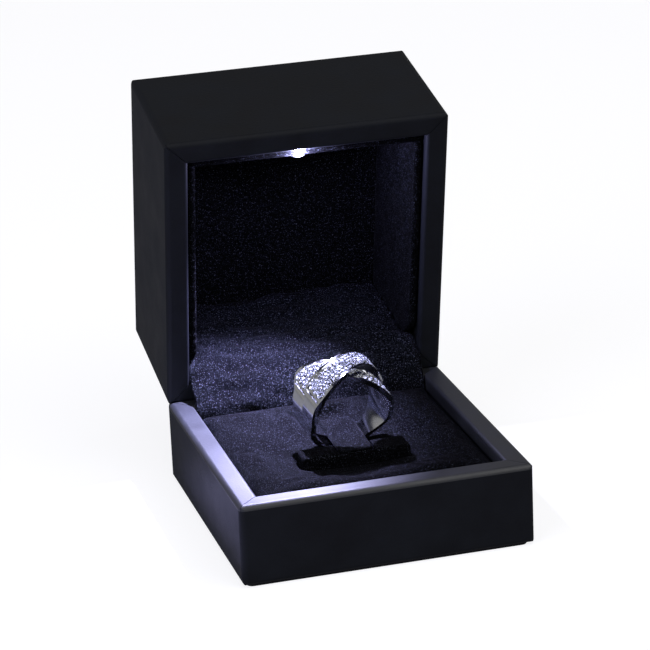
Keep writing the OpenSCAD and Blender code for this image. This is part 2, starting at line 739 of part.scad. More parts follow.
// Where a point drawn on the shut lid lies when the lid is open
function open_point(y, z) = let (dy = y - hinge_y, dz = z - hinge_z) [
    hinge_y + dy * cos(open_angle) + dz * sin(open_angle),
    hinge_z - dy * sin(open_angle) + dz * cos(open_angle)
];

cloth_y = lining_in_d - cloth_t / 2 - 0.05;
cloth_base_y = pad_back_y + pad_gap + cloth_t / 2;
cloth_bend = open_point(cloth_y, lining_z + 1);
cloth_crest = [hinge_y - 2.4, hinge_z + 2.8];
cloth_top = [cloth_base_y, pad_top_z];
cloth_tuck = 4;                                  // height above the board at which the tucked end stops

// Unit normal of the stretch of a path that starts at point i
function path_normal(path, i) = let (run = path[i + 1] - path[i]) [-run.y, run.x] / norm(run);

// The path moved sideways by d, with its corners kept sharp
function path_offset(path, d) = [for (i = [0:len(path) - 1]) let (
    before = path_normal(path, max(i - 1, 0)),
    after = path_normal(path, min(i, len(path) - 2))
) path[i] + (before + after) * d / (1 + before * after)];

function reversed(list) = [for (i = [len(list) - 1:-1:0]) list[i]];

module hinge_cloth() color(velvet_black) difference() {
    path = [
        open_point(cloth_y, lining_top_z - pad_gap), cloth_bend, cloth_crest, cloth_top,
        [cloth_base_y, pad_z + cloth_tuck]
    ];
    side_x = lining_in_w - pad_gap;
    rotate([90, 0, 90]) linear_extrude(2 * (opening_w - pad_gap), center = true)
        polygon(concat(path_offset(path, cloth_t / 2), reversed(path_offset(path, -cloth_t / 2))));
    opened() for (x = [-opening_w - over, side_x]) translate([x, cloth_y - over, lining_z + over])
        cube([opening_w + over - side_x, 2 * over, lid_h]);
}

// ---- lamp, battery and switch ----

board_y = fit_gap - cavity_d;                    // back of the pieces that stand against the lid's front wall
lamp_board_t = 0.7;
holder_w = 14;
lamp_board_h = 6.8;                              // how far the lamp's board runs up beyond the lamp
holder_z = led_z + lamp_board_h + fit_gap;
holder_h = cell_d + 1.8;
cell_z = holder_z + holder_h / 2;
cell_gap = 1.2;
cell_x = (cell_d + cell_gap) / 2;
plate_t = 0.5;
contact_t = 0.15;

module led_board() color("#1d5a36") opened()
    block([lamp_x0 + 0.3, board_y, lid_frame_z + 1.3], [lamp_x1 - 0.3, board_y + lamp_board_t, led_z + lamp_board_h]);

module led_lens() color("#f4f6ff") opened() translate([led_x, board_y + lamp_board_t, led_z]) rotate([-90, 0, 0]) {
    body = -lining_in_d - board_y - lamp_board_t;
    cylinder(r = led_r, h = body);
    intersection() {
        translate([0, 0, body - led_r + lens_proud]) sphere(led_r);
        translate([0, 0, body - over]) cylinder(r = led_r, h = led_r + over);
    }
}

module led_bezel() color(moulded_black) opened() translate([led_x, -lining_in_d, led_z]) rotate([-90, 0, 0]) difference() {
    cylinder(r = led_r + 0.7, h = 0.3);
    translate([0, 0, -over]) cylinder(r = led_r + lens_gap, h = 2 * over);
}

module battery_holder() color(moulded_black) opened() difference() {
    block([-holder_w, board_y, holder_z], [holder_w, board_y + plate_t + cell_t, holder_z + holder_h]);
    for (side = [-1, 1]) translate([side * cell_x, board_y + plate_t, cell_z]) rotate([-90, 0, 0])
        cylinder(r = cell_d / 2 + fit_gap, h = cell_t + over);
}

module coin_cells() color(silver_white) opened()
    for (side = [-1, 1]) translate([side * cell_x, board_y + plate_t, cell_z]) rotate([-90, 0, 0])
        cylinder(d = cell_d, h = cell_t);

// A spring strip across both cells, and one to each end of the holder
module battery_contacts() color("#b9a468") opened() {
    y = board_y + plate_t + cell_t;
    block([-cell_x - 2, y, cell_z - 1.5], [cell_x + 2, y + contact_t, cell_z + 1.5]);
    for (side = [-1, 1]) {
        x = side * (cell_x + 4);
        block([x - 0.6, y, holder_z + 0.4], [x + 0.6, y + contact_t, cell_z - 2]);
    }
}

module switch_body() color(moulded_black) opened() difference() {
    block([switch_x - switch_w / 2, frame_in_d, switch_z], [switch_x + switch_w / 2, cavity_d - fit_gap, switch_z + switch_h]);
    translate([switch_x, plunger_y, switch_z - over]) cylinder(r = plunger_r + 0.05, h = switch_h);
}

module switch_plunger() color("#d8d8d4") opened() translate([switch_x, plunger_y, base_h + 0.05 - plunger_travel])
    cylinder(r = plunger_r, h = switch_z + switch_h - over - base_h - 0.1);

// Wires from the switch round the side wall to the lamp's board
module lamp_wires() color("#a33a33") opened() for (i = [0, 1]) {
    z = lid_frame_z + lid_frame_h + 1.2 + i * 1.3;
    x = switch_x + 0.9 - i * 1.8;
    side_x = (lining_out_w + cavity_w) / 2;
    front_y = board_y + lamp_board_t + wire_r;
    back_y = cavity_d - 1;
    route = [
        [x, back_y, switch_z + switch_h], [x, back_y, z], [side_x, back_y, z],
        [side_x, front_y, z], [lamp_x1 - 2, front_y, z]
    ];
    for (k = [0:len(route) - 2]) wire_run(route[k], route[k + 1]);
    for (k = [1:len(route) - 2]) translate(route[k]) sphere(wire_r, $fn = 16);
}

module wire_run(a, b) {
    run = b - a;
    turn = run.x != 0 ? [0, 90 * sign(run.x), 0] : run.y != 0 ? [-90 * sign(run.y), 0, 0] : [run.z > 0 ? 0 : 180, 0, 0];
    translate(a) rotate(turn) cylinder(r = wire_r, h = norm(run), $fn = 16);
}

base_bottom();
base_cover();
base_tray();
base_frame();
base_rim_front();
base_rim_left();
base_rim_right();
base_rim_back_left();
base_rim_back_right();
pad_board();
velvet_pad();
ring_block();
clip_bracket();
hinge_leaf_base();
hinge_rivets_base();
hinge_pin();
hinge_spring();
lid_cover();
lid_shell();
lid_frame();
lid_rim_front();
lid_rim_left();
lid_rim_right();
lid_rim_back_left();
lid_rim_back_right();
lid_roof_lining();
lid_lining_front();
lid_lining_back();
lid_lining_left();
lid_lining_right();
hinge_leaf_lid();
hinge_rivets_lid();
hinge_cloth();
led_board();
led_lens();
led_bezel();
battery_holder();
coin_cells();
battery_contacts();
switch_body();
switch_plunger();
lamp_wires();
tongue_spring();
tongue_cover();
ring_band();
ring_stones();
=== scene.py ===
import bisect
import bpy
import bmesh
import json
import math
from mathutils import Matrix, Vector, noise

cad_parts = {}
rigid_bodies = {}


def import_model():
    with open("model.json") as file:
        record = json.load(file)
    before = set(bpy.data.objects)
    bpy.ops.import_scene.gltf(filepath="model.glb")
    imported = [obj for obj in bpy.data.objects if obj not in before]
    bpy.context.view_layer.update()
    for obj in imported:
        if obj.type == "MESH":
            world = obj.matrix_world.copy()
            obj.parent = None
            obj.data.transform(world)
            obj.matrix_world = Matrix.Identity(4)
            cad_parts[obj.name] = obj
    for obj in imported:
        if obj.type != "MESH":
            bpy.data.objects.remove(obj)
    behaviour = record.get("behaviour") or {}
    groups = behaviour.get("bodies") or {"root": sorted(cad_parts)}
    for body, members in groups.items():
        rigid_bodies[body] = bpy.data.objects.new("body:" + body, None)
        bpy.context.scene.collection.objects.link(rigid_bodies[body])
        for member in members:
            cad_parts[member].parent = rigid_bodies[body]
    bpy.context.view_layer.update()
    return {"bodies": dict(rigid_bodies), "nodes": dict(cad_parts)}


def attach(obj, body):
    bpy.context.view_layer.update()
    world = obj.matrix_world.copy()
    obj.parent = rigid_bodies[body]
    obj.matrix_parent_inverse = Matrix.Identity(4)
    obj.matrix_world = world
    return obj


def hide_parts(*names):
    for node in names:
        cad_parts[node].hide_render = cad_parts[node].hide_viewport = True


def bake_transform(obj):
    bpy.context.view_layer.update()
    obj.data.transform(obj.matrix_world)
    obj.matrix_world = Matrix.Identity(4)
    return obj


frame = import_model()
nodes = frame["nodes"]
scene = bpy.context.scene
scene.view_settings.view_transform = "Standard"
mm = 0.001


def toLinear(hexColour):
    values = [int(hexColour[i:i + 2], 16) / 255 for i in (1, 3, 5)]
    return [v / 12.92 if v <= 0.04045 else ((v + 0.055) / 1.055) ** 2.4 for v in values] + [1.0]


def eased(t):   # 0 to 1 with a soft start and end
    t = max(0.0, min(1.0, t))
    return t * t * (3 - 2 * t)


# Each input gets a value, a link from a socket, or a link from a node's first output
def feed(tree, node, inputs):
    for socket, value in inputs.items():
        if isinstance(value, bpy.types.Node):
            value = value.outputs[0]
        if isinstance(value, bpy.types.NodeSocket):
            tree.links.new(value, node.inputs[socket])
        else:
            node.inputs[socket].default_value = value


def addNode(tree, kind, inputs=None, stops=(), **settings):   # stops: a colour ramp's places and colours
    made = tree.nodes.new(kind)
    for name, value in settings.items():
        setattr(made, name, value)
    feed(tree, made, inputs or {})
    for number, (at, colour) in enumerate(stops):
        bar = made.color_ramp.elements
        element = bar[number] if number < len(bar) else bar.new(at)
        element.position = at
        element.color = toLinear(colour) if isinstance(colour, str) else (colour, colour, colour, 1)
    return made


# Places are worked out in millimetres. The lid is drawn shut and then swung open.
lidHinge = {"y": 31.4, "z": 18.3, "openAngle": 78}   # the hinge pin, and degrees from shut to the stop


def opened(x, y, z):
    dy, dz = y - lidHinge["y"], z - lidHinge["z"]
    angle = math.radians(lidHinge["openAngle"])
    c, s = math.cos(angle), math.sin(angle)
    return Vector((x, lidHinge["y"] + dy * c + dz * s, lidHinge["z"] - dy * s + dz * c))


print("camera and studio")

view = {
    "yaw": -14.944, "pitch": 19.18, "roll": -2.545,   # degrees
    "place": (-155.87, -571.87, 248.82), "lens": 164.36, "sensor": 36, "nearest": 10,   # mm
}


def makeCamera():
    a, e, r = (math.radians(view[k]) for k in ("yaw", "pitch", "roll"))
    back = Vector((math.sin(a) * math.cos(e), -math.cos(a) * math.cos(e), math.sin(e)))
    right = (-back).cross(Vector((0, 0, 1))).normalized()
    up = right.cross(-back)
    rolledRight = math.cos(r) * right + math.sin(r) * up
    rolledUp = -math.sin(r) * right + math.cos(r) * up
    data = bpy.data.cameras.new("studioCamera")
    data.lens = view["lens"]
    data.sensor_width = view["sensor"]
    data.clip_start = view["nearest"] * mm
    camera = bpy.data.objects.new("studioCamera", data)
    turn = Matrix((rolledRight, rolledUp, back)).transposed().to_4x4()
    camera.matrix_world = Matrix.Translation(Vector(view["place"]) * mm) @ turn
    scene.collection.objects.link(camera)
    scene.camera = camera


makeCamera()

studio = {   # metres and watts
    "floorSize": 6.0, "floorColour": "#9a9aa0", "floorGlow": 0.81,
    "worldStrength": 0.2, "inReflections": 0.08, "aim": (0, 0.01, 0.03),
    "softboxes": [   # name, place, size, watts, colour
        ("keySoftbox", (-1.1, -0.75, 0.75), 0.9, 9.0, "#eef0ff"),
        ("fillSoftbox", (1.0, -1.3, 0.9), 1.2, 6.0, "#ffffff"),
        ("topSoftbox", (0.3, -0.7, 1.5), 1.2, 8.0, "#ffffff"),
        ("sideSoftbox", (-1.0, -0.5, 0.3), 0.5, 3.0, "#b9c2f2"),
    ],
}


def whiteForEyes(tree):   # 1 for the rays that show the background, straight or in a reflection
    path = addNode(tree, "ShaderNodeLightPath").outputs
    dimmed = addNode(tree, "ShaderNodeMath", {0: path["Is Glossy Ray"], 1: studio["inReflections"]},
                     operation="MULTIPLY")
    seen = path["Is Camera Ray"]
    for other in (path["Is Transmission Ray"], dimmed):
        seen = addNode(tree, "ShaderNodeMath", {0: seen, 1: other}, operation="MAXIMUM")
    return seen


def makeFloor():
    half = studio["floorSize"] / 2
    mesh = bpy.data.meshes.new("floor")
    corners = [(-half, -half, 0), (half, -half, 0), (half, half, 0), (-half, half, 0)]
    mesh.from_pydata(corners, [], [(0, 1, 2, 3)])
    floor = bpy.data.objects.new("floor", mesh)
    scene.collection.objects.link(floor)
    paper = bpy.data.materials.new("whitePaperBackdrop")
    paper.use_nodes = True
    tree = paper.node_tree
    tree.nodes.clear()
    matt = addNode(tree, "ShaderNodeBsdfDiffuse", {"Color": toLinear(studio["floorColour"])})
    glow = addNode(tree, "ShaderNodeEmission", {"Color": toLinear("#ffffff"),
                                                "Strength": studio["floorGlow"]})
    dark = addNode(tree, "ShaderNodeEmission", {"Strength": 0.0})
    shown = addNode(tree, "ShaderNodeMixShader", {0: whiteForEyes(tree), 1: dark, 2: glow})
    both = addNode(tree, "ShaderNodeAddShader", {0: matt, 1: shown})
    addNode(tree, "ShaderNodeOutputMaterial", {"Surface": both})
    mesh.materials.append(paper)


def makeLights():
    world = bpy.data.worlds.new("studioWorld")
    world.use_nodes = True
    tree = world.node_tree
    tree.nodes.clear()
    strength = addNode(tree, "ShaderNodeMix", {"Factor": whiteForEyes(tree), 2: studio["worldStrength"],
                                               3: 1.0})
    sky = addNode(tree, "ShaderNodeBackground", {"Color": toLinear("#ffffff"), "Strength": strength})
    addNode(tree, "ShaderNodeOutputWorld", {"Surface": sky})
    scene.world = world
    for name, place, size, watts, colour in studio["softboxes"]:
        lamp = bpy.data.lights.new(name, "AREA")
        lamp.size = size
        lamp.energy = watts
        lamp.color = toLinear(colour)[:3]
        holder = bpy.data.objects.new(name, lamp)
        holder.location = place
        holder.rotation_euler = (Vector(studio["aim"]) - Vector(place)).to_track_quat("-Z", "Y").to_euler()
        scene.collection.objects.link(holder)


makeFloor()
makeLights()

print("materials")


def newMaterial(name, **values):   # the last thing given back is the place on the object, for its patterns
    made = bpy.data.materials.new(name)
    made.use_nodes = True
    tree = made.node_tree
    shader = tree.nodes["Principled BSDF"]
    for socket, value in values.items():
        shader.inputs[socket.replace("_", " ")].default_value = value
    return made, tree, shader, addNode(tree, "ShaderNodeTexCoord").outputs["Object"]


def lumps(place, size, detail, rough=0.5):   # what a noise needs for lumps about size millimetres across
    return {"Vector": place, "Scale": 1 / (size * mm), "Detail": detail, "Roughness": rough}


# Leatherette: polyurethane skin on cloth, embossed with fine pebbles, so it is black with a soft broad sheen
leather = {
    "pebble": 0.42, "fine": 0.12, "patch": 9.0, "depth": 0.035, "fineDepth": 0.014,   # mm
    "dark": "#101115", "worn": "#15171c",
}


def makeLeatherette(name, shine, low, high):
    made, tree, shader, place = newMaterial(name, IOR=1.48, Specular_IOR_Level=shine)
    pebbles = addNode(tree, "ShaderNodeTexVoronoi", {"Vector": place, "Scale": 1 / (leather["pebble"] * mm)},
                      feature="SMOOTH_F1")
    fine = addNode(tree, "ShaderNodeTexNoise", lumps(place, leather["fine"], 2.0))
    patch = addNode(tree, "ShaderNodeTexNoise", lumps(place, leather["patch"], 3.0))
    colour = addNode(tree, "ShaderNodeValToRGB", {"Fac": patch},
                     [(0.3, leather["dark"]), (0.7, leather["worn"])])
    rough = addNode(tree, "ShaderNodeValToRGB", {"Fac": patch}, [(0.3, low), (0.72, high)])
    pebbled = addNode(tree, "ShaderNodeBump", {"Height": pebbles, "Distance": leather["depth"] * mm,
                                               "Strength": 0.55})
    grained = addNode(tree, "ShaderNodeBump", {"Height": fine, "Distance": leather["fineDepth"] * mm,
                                               "Strength": 0.5, "Normal": pebbled})
    feed(tree, shader, {"Base Color": colour, "Roughness": rough, "Normal": grained})
    return made


# Velvet: short upright rayon pile, close to black, with fine flecks of lighter pile at random, and painted
# glints: bright specks in the base colour where the tips of fibres would catch the light.
# The glints are drawn coarser than single fibres, as coarse as they need to be to show.
velvet = {
    "fleck": 0.26, "paintedGlint": 0.2, "tuft": 0.5, "brushed": 7.0, "depth": 0.12, "brushedDepth": 0.6,   # mm
    "sheen": "#c9c7e6",
}


def makeVelvet(name, deep, pile, tip, paintedGlint):
    made, tree, shader, place = newMaterial(name, Roughness=0.9, IOR=1.45, Specular_IOR_Level=0.02,
                                            Sheen_Weight=0.004, Sheen_Roughness=0.5,
                                            Sheen_Tint=toLinear(velvet["sheen"]))
    brushed = addNode(tree, "ShaderNodeTexNoise", lumps(place, velvet["brushed"], 3.0, 0.55))
    tufts = addNode(tree, "ShaderNodeTexNoise", lumps(place, velvet["tuft"], 3.0, 0.7))
    flecks = addNode(tree, "ShaderNodeTexNoise", lumps(place, velvet["fleck"], 1.0, 0.6))
    # painted glints: a sparse noise mixes bright specks into the base colour, where fibre tips would catch
    # the light
    points = addNode(tree, "ShaderNodeTexNoise", lumps(place, velvet["paintedGlint"], 0.0))
    fine = addNode(tree, "ShaderNodeValToRGB", {"Fac": flecks}, [(0.4, deep), (0.56, pile), (0.72, tip)])
    worn = addNode(tree, "ShaderNodeValToRGB", {"Fac": brushed}, [(0.32, 0.45), (0.68, 1.0)])
    glintMask = addNode(tree, "ShaderNodeValToRGB", {"Fac": points}, [(0.67, 0.0), (0.8, 1.0)])
    shaded = addNode(tree, "ShaderNodeMix", {0: 1.0, 6: fine, 7: worn}, data_type="RGBA",
                     blend_type="MULTIPLY")
    mixed = addNode(tree, "ShaderNodeMix", {0: glintMask, 6: shaded.outputs[2], 7: toLinear(paintedGlint)},
                    data_type="RGBA")
    tufted = addNode(tree, "ShaderNodeBump", {"Height": tufts, "Distance": velvet["depth"] * mm,
                                              "Strength": 0.8})
    swept = addNode(tree, "ShaderNodeBump", {"Height": brushed, "Distance": velvet["brushedDepth"] * mm,
                                             "Strength": 0.35, "Normal": tufted})
    feed(tree, shader, {"Base Color": mixed.outputs[2], "Normal": swept})
    return made


# Polished metal of the ring: cast silver, buffed and rhodium plated, a mirror with faint polishing lines
polish = {"haze": 1.6, "lines": 0.25, "depth": 0.004}   # mm


def makeRhodium():
    made, tree, shader, place = newMaterial("polishedRhodiumPlatedSilver", Metallic=1.0)
    haze = addNode(tree, "ShaderNodeTexNoise", lumps(place, polish["haze"], 4.0))
    lines = addNode(tree, "ShaderNodeTexNoise", lumps(place, polish["lines"], 2.0))
    colour = addNode(tree, "ShaderNodeValToRGB", {"Fac": haze}, [(0.3, "#d9dade"), (0.75, "#eeeef2")])
    rough = addNode(tree, "ShaderNodeValToRGB", {"Fac": haze}, [(0.25, 0.05), (0.8, 0.13)])
    buffed = addNode(tree, "ShaderNodeBump", {"Height": lines, "Distance": polish["depth"] * mm,
                                              "Strength": 0.4})
    feed(tree, shader, {"Base Color": colour, "Roughness": rough, "Normal": buffed})
    return made


# Cubic zirconia: grown crystal, cut and polished. Its flashes are painted reflections: a noise puts bright
# and dark blotches in the base colour, so one patch flashes while its neighbour stays dark
paintedFlash = {"size": 0.5, "dark": "#15161a", "middle": "#44464f", "bright": "#c4c8d6"}   # size in mm


def makeZirconia():
    made, tree, shader, place = newMaterial("cutCubicZirconia", Roughness=0.06, IOR=2.1)
    # painted reflections: bright and dark blotches in the base colour stand in for facets flashing
    paintedFlashNoise = addNode(tree, "ShaderNodeTexNoise", lumps(place, paintedFlash["size"], 1.0))
    stops = [(0.35, paintedFlash["dark"]), (0.5, paintedFlash["middle"]), (0.68, paintedFlash["bright"])]
    feed(tree, shader, {"Base Color": addNode(tree, "ShaderNodeValToRGB", {"Fac": paintedFlashNoise}, stops)})
    return made


# Plated spring steel: rolled strip, bright nickel, with fine lines along the rolling
rolled = {"lines": 0.4, "depth": 0.01}   # mm


def makeNickelSteel():
    made, tree, shader, place = newMaterial("nickelPlatedSpringSteel", Metallic=1.0)
    lines = addNode(tree, "ShaderNodeTexNoise", lumps(place, rolled["lines"], 3.0))
    colour = addNode(tree, "ShaderNodeValToRGB", {"Fac": lines}, [(0.3, "#8e9094"), (0.7, "#b5b6b9")])
    rough = addNode(tree, "ShaderNodeValToRGB", {"Fac": lines}, [(0.3, 0.24), (0.7, 0.36)])
    ridged = addNode(tree, "ShaderNodeBump", {"Height": lines, "Distance": rolled["depth"] * mm,
                                              "Strength": 0.3})
    feed(tree, shader, {"Base Color": colour, "Roughness": rough, "Normal": ridged})
    return made


# Small hard parts: moulded, pressed or coated, each with a faint mottle and a fine surface grain
surface = {"mottle": 1.2, "grainShare": 0.15, "depth": 0.01}   # mm, and the grain as a share of the mottle


def makeHard(name, dark, light, low, high, mottle=surface["mottle"], metal=0.0):
    made, tree, shader, place = newMaterial(name, IOR=1.5, Specular_IOR_Level=0.4, Metallic=metal)
    spread = addNode(tree, "ShaderNodeTexNoise", lumps(place, mottle, 3.0))
    fine = addNode(tree, "ShaderNodeTexNoise", lumps(place, mottle * surface["grainShare"], 2.0))
    colour = addNode(tree, "ShaderNodeValToRGB", {"Fac": spread}, [(0.3, dark), (0.7, light)])
    rough = addNode(tree, "ShaderNodeValToRGB", {"Fac": spread}, [(0.3, low), (0.7, high)])
    grained = addNode(tree, "ShaderNodeBump", {"Height": fine, "Distance": surface["depth"] * mm,
                                               "Strength": 0.4})
    feed(tree, shader, {"Base Color": colour, "Roughness": rough, "Normal": grained})
    return made


# Lamp lens: cast epoxy round a white light-emitting chip, so it glows blue-white from inside
lens = {"mottle": 1.0, "glow": 60.0}   # the mottle in mm


def makeLampLens():
    made, tree, shader, place = newMaterial("castEpoxyLampLens", Roughness=0.12, IOR=1.5,
                                            Emission_Strength=lens["glow"])
    spread = addNode(tree, "ShaderNodeTexNoise", lumps(place, lens["mottle"], 1.0))
    epoxy = addNode(tree, "ShaderNodeValToRGB", {"Fac": spread}, [(0.2, "#dfe6ff"), (0.8, "#ffffff")])
    glow = addNode(tree, "ShaderNodeValToRGB", {"Fac": spread}, [(0.2, "#cfdcff"), (0.8, "#f3f6ff")])
    feed(tree, shader, {"Base Color": epoxy, "Emission Color": glow})
    return made


leatherette = makeLeatherette("embossedPolyurethaneLeatherette", 0.12, 0.5, 0.6)   # nearly matt
edgeLeatherette = makeLeatherette("stretchedPolyurethaneLeatherette", 0.7, 0.45, 0.55)   # taut, so shinier
# the last colour given to each velvet is its painted glint
blackVelvet = makeVelvet("blackRayonVelvet", "#010101", "#040405", "#0f1014", "#393b44")   # dense and darker
greyerVelvetPaintedLit = makeVelvet("thinRayonVelvetPaintedLit", "#020203", "#08090c", "#191a21", "#434550")   # open and greyer, and lighter also as painted light for the lamp's spill on the hinge cloth
rhodium = makeRhodium()
zirconia = makeZirconia()
nickelSteel = makeNickelSteel()
# ABS comes eggshell from its mould, felt is dull and nylon waxy, a drawn PVC sleeve has a faint gloss, a
# solder mask is glassy over green, a pressed can is satin, and tinned brass is a soft yellow
mouldedAbs = makeHard("mouldedBlackAbs", "#101114", "#1b1c20", 0.45, 0.6)
pressedFelt = makeHard("pressedBlackFelt", "#0c0c0f", "#1d1d22", 0.9, 1.0, mottle=0.5)
whiteNylon = makeHard("mouldedWhiteNylon", "#c9c9c2", "#dcdcd6", 0.35, 0.5)
wireSleeve = makeHard("blackPvcWireSleeve", "#141416", "#222225", 0.35, 0.5)
greenBoard = makeHard("greenSolderMaskedBoard", "#12492c", "#1d6440", 0.3, 0.45)
cellSteel = makeHard("pressedSteelCellCan", "#a9aaac", "#c6c7c8", 0.25, 0.4, metal=1.0)
contactBrass = makeHard("tinPlatedBrassStrip", "#a68f55", "#c9b070", 0.25, 0.4, metal=1.0)
lampLens = makeLampLens()

finishes = {
    leatherette: ["base_cover", "lid_cover", "lid_rim_front", "lid_rim_left", "lid_rim_right",
                  "lid_rim_back_left", "lid_rim_back_right"],
    edgeLeatherette: ["base_rim_front", "base_rim_left", "base_rim_right", "base_rim_back_left",
                      "base_rim_back_right"],
    mouldedAbs: ["base_tray", "base_frame", "pad_board", "lid_shell", "lid_frame", "led_bezel",
                 "battery_holder", "switch_body"],
    pressedFelt: ["base_bottom"],
    nickelSteel: ["hinge_leaf_base", "hinge_rivets_base", "hinge_pin", "hinge_spring", "hinge_leaf_lid",
                  "hinge_rivets_lid", "clip_bracket", "tongue_spring"],
    whiteNylon: ["switch_plunger"], wireSleeve: ["lamp_wires"], greenBoard: ["led_board"],
    cellSteel: ["coin_cells"], contactBrass: ["battery_contacts"], lampLens: ["led_lens"],
    rhodium: ["ring_band"], zirconia: ["ring_stones"],
    blackVelvet: ["velvet_pad", "ring_block", "tongue_cover", "lid_roof_lining", "lid_lining_front",
                  "lid_lining_back", "lid_lining_left", "lid_lining_right", "hinge_cloth"],
}
for material, names in finishes.items():
    for name in names:
        nodes[name].data.materials.clear()
        nodes[name].data.materials.append(material)

# Boards wrapped in velvet, a pad puffed up as cloth, and a sheet that lies loose over the hinge
print("velvet boards, block and tongue")


def meshObject(name, mesh, material):
    made = bpy.data.objects.new(name, mesh)
    scene.collection.objects.link(made)
    mesh.materials.clear()
    mesh.materials.append(material)
    mesh.polygons.foreach_set("use_smooth", [True] * len(mesh.polygons))
    return made


def settled(piece):   # the evaluated shape as a plain mesh, with its modifiers gone
    graph = bpy.context.evaluated_depsgraph_get()
    mesh = bpy.data.meshes.new_from_object(piece.evaluated_get(graph), depsgraph=graph)
    piece.modifiers.clear()
    old = piece.data
    piece.data = mesh
    bpy.data.meshes.remove(old)
    return piece


wrap = {"weld": 0.001, "factor": 0.5}   # mm, and how far each smoothing step goes


def softCopy(node, name, voxel, smoothing):   # a CAD solid as if wrapped in cloth: even quads and soft edges
    mesh = nodes[node].data.copy()
    work = bmesh.new()
    work.from_mesh(mesh)
    bmesh.ops.remove_doubles(work, verts=work.verts, dist=wrap["weld"] * mm)
    work.to_mesh(mesh)
    work.free()
    piece = meshObject(name, mesh, blackVelvet)
    remesh = piece.modifiers.new("wrap", "REMESH")
    remesh.mode = "VOXEL"
    remesh.voxel_size = voxel * mm
    smooth = piece.modifiers.new("soften", "SMOOTH")
    smooth.factor = wrap["factor"]
    smooth.iterations = smoothing
    settled(piece)
    piece.data.materials.clear()
    piece.data.materials.append(blackVelvet)
    piece.data.polygons.foreach_set("use_smooth", [True] * len(piece.data.polygons))
    return piece


waves = {"lump": 5.0, "seedStep": 3.1, "skew": 0.7, "broad": 0.7, "fine": 0.3, "finer": 2.3}


def ruffle(piece, height, size, seed, above=None):   # moves each point along its normal by smooth noise
    points = piece.data.vertices
    old = [(v.co.copy(), v.normal.copy()) for v in points]
    moved = []
    for co, normal in old:
        at = co / (size * mm) + Vector((seed, seed * waves["skew"], -seed))
        amount = noise.noise(at) * waves["broad"] + noise.noise(at * waves["finer"]) * waves["fine"]
        if above is not None and co.z / mm <= above:
            amount = 0.0
        moved.extend(co + normal * amount * height * mm)
    points.foreach_set("co", moved)
    piece.data.update()


boards = {   # node: name, voxel, smoothing, ruffle height, body
    "lid_roof_lining": ("velvetRoofBoard", 0.6, 3, 0.12, "lid"),
    "lid_lining_front": ("velvetFrontBoard", 0.5, 3, 0.12, "lid"),
    "lid_lining_back": ("velvetBackBoard", 0.5, 3, 0.1, "lid"),
    "lid_lining_left": ("velvetLeftBoard", 0.5, 3, 0.14, "lid"),
    "lid_lining_right": ("velvetRightBoard", 0.5, 3, 0.14, "lid"),
    "ring_block": ("velvetRingBlock", 0.3, 2, 0.08, "base"),
    "tongue_cover": ("velvetTongueSleeve", 0.2, 2, 0.04, "tongue"),
}
softPieces = {}
for seed, (node, (name, voxel, smoothing, height, body)) in enumerate(boards.items()):
    piece = softCopy(node, name, voxel, smoothing)
    ruffle(piece, height, waves["lump"], seed * waves["seedStep"])
    softPieces[node] = piece

print("velvet pad")
padShape = {   # mm, and cap is the furthest that a point moves
    "voxel": 0.7, "smoothing": 4, "scale": 10, "pressure": 3.0, "frames": 20, "cap": 1.0, "quality": 5,
    "mass": 0.3,
    "ruffle": 0.22, "ruffleLump": 7.0, "ruffleSeed": 4.7, "ruffleAbove": 10,
    "glued": 12.5,   # the height below which it doesn't move
    "held": [((0.0, -7.5), (13.5, 4.5)), ((0.0, 6.0), (7.0, 16.0))],   # middles and half sizes from above
    "ease": 5.0,   # how far past a held place the pad is quite free
}


def puffed(piece, held, size):   # blows the piece up a little as cloth, enlarged so that cloth behaves
    big = size["scale"]
    start = [v.co.copy() for v in piece.data.vertices]
    piece.data.transform(Matrix.Scale(big, 4))
    group = piece.vertex_groups.new(name="held")
    for v in piece.data.vertices:
        group.add([v.index], held(v.co / big / mm), "REPLACE")
    cloth = piece.modifiers.new("cloth", "CLOTH")
    cloth.settings.quality = size["quality"]
    cloth.settings.mass = size["mass"]
    cloth.settings.use_pressure = True
    cloth.settings.uniform_pressure_force = size["pressure"]
    cloth.settings.vertex_group_mass = "held"
    cloth.settings.effector_weights.gravity = 0
    cloth.point_cache.frame_start = 1
    cloth.point_cache.frame_end = size["frames"]
    for number in range(1, size["frames"] + 1):
        scene.frame_set(number)
    settled(piece)
    places = []
    for now, old in zip([v.co.copy() for v in piece.data.vertices], start):
        moved = now / big - old
        if moved.length > size["cap"] * mm:
            moved *= size["cap"] * mm / moved.length
        places.extend(old + moved)
    piece.data.vertices.foreach_set("co", places)
    piece.data.update()
    scene.frame_set(1)
    piece.vertex_groups.clear()


def padHeld(p):   # glued below, tight round the ring block, and pressed flat where the ring slides
    away = min(max(abs(p.x - middle[0]) - half[0], abs(p.y - middle[1]) - half[1])
               for middle, half in padShape["held"])
    low = 1.0 if p.z < padShape["glued"] else 0.0
    return max(low, min(1.0, max(0.0, 1.0 - away / padShape["ease"])))


pad = softCopy("velvet_pad", "velvetPad", padShape["voxel"], padShape["smoothing"])
puffed(pad, padHeld, padShape)
ruffle(pad, padShape["ruffle"], padShape["ruffleLump"], padShape["ruffleSeed"], padShape["ruffleAbove"])
softPieces["velvet_pad"] = pad

